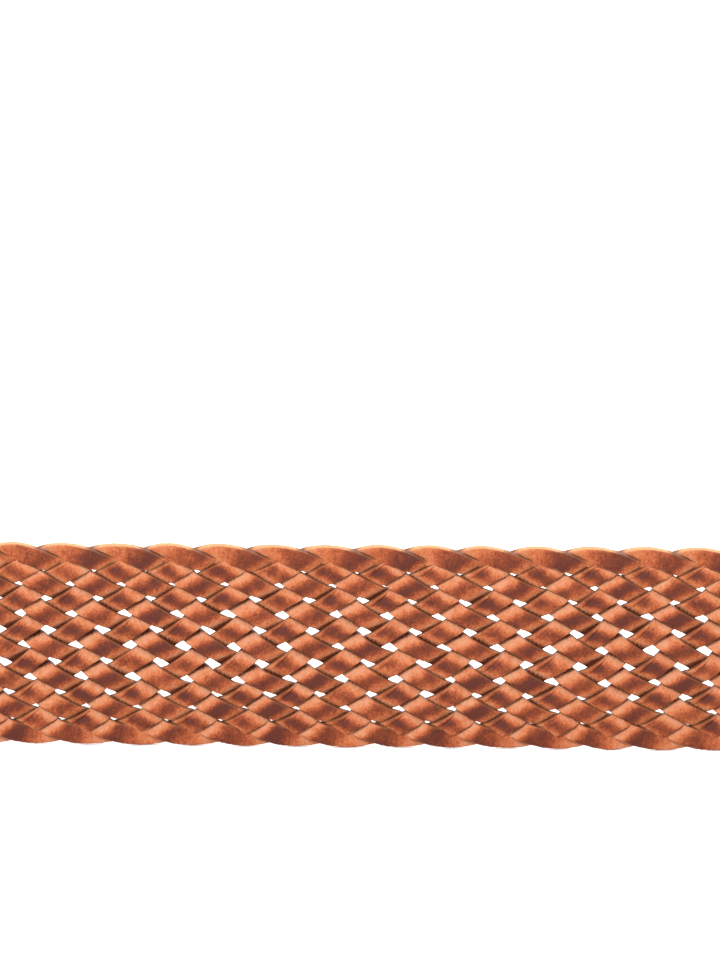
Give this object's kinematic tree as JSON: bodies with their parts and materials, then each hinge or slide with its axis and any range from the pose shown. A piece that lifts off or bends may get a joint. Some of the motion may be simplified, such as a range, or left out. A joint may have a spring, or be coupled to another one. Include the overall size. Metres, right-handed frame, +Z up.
{
  "type": "braided leather belt",
  "caption": "Braided leather waist belt with a hinged frame buckle, turning prong, sliding keeper loop and a stitched leather tip, standing on its edge in a horseshoe.",
  "frame": {"origin": "middle of the front run, on the lower edge where the belt stands, in the middle of the strap's thickness", "axes": "+X along the front run towards the tip leg, +Y into the horseshoe, +Z up across the strap's width"},
  "size_m": [0.4046, 0.3705, 0.05],
  "materials": {
    "braid_leather": "burnished semi-gloss",
    "tab_leather": "burnished semi-gloss",
    "buckle_metal": "satin, aged",
    "bar_steel": "satin",
    "thread": "waxed thread"
  },
  "bodies": {
    "strap": {"strand_01": "braid_leather", "strand_02": "braid_leather", "strand_03": "braid_leather", "strand_04": "braid_leather", "strand_05": "braid_leather", "strand_06": "braid_leather", "strand_07": "braid_leather", "strand_08": "braid_leather", "strand_09": "braid_leather", "strand_10": "braid_leather", "strand_11": "braid_leather", "strand_12": "braid_leather", "strand_13": "braid_leather", "strand_14": "braid_leather", "chape": "tab_leather", "chape_stitches": "thread", "tip_grain_layer": "tab_leather", "tip_flesh_layer": "tab_leather", "tip_stitches": "thread"},
    "buckle": {"buckle_frame": "buckle_metal", "buckle_bar": "bar_steel"},
    "prong": {"buckle_prong": "buckle_metal"},
    "keeper": {"keeper": "tab_leather", "keeper_stitches": "thread"}
  },
  "joints": [
    {"name": "buckle_hinge", "type": "hinge", "parent": "strap", "child": "buckle", "pos_m": [-0.195, 0.325, 0.025], "axis": [0, 0, 1], "range_deg": [-90, 40]},
    {"name": "prong_hinge", "type": "hinge", "parent": "buckle", "child": "prong", "pos_m": [-0.195, 0.325, 0.025], "axis": [0, 0, 1], "range_deg": [0, 80]},
    {"name": "keeper_slide", "type": "slide", "parent": "strap", "child": "keeper", "axis": [0, 1, 0], "range_m": [-0.024, 0.012]}
  ]
}
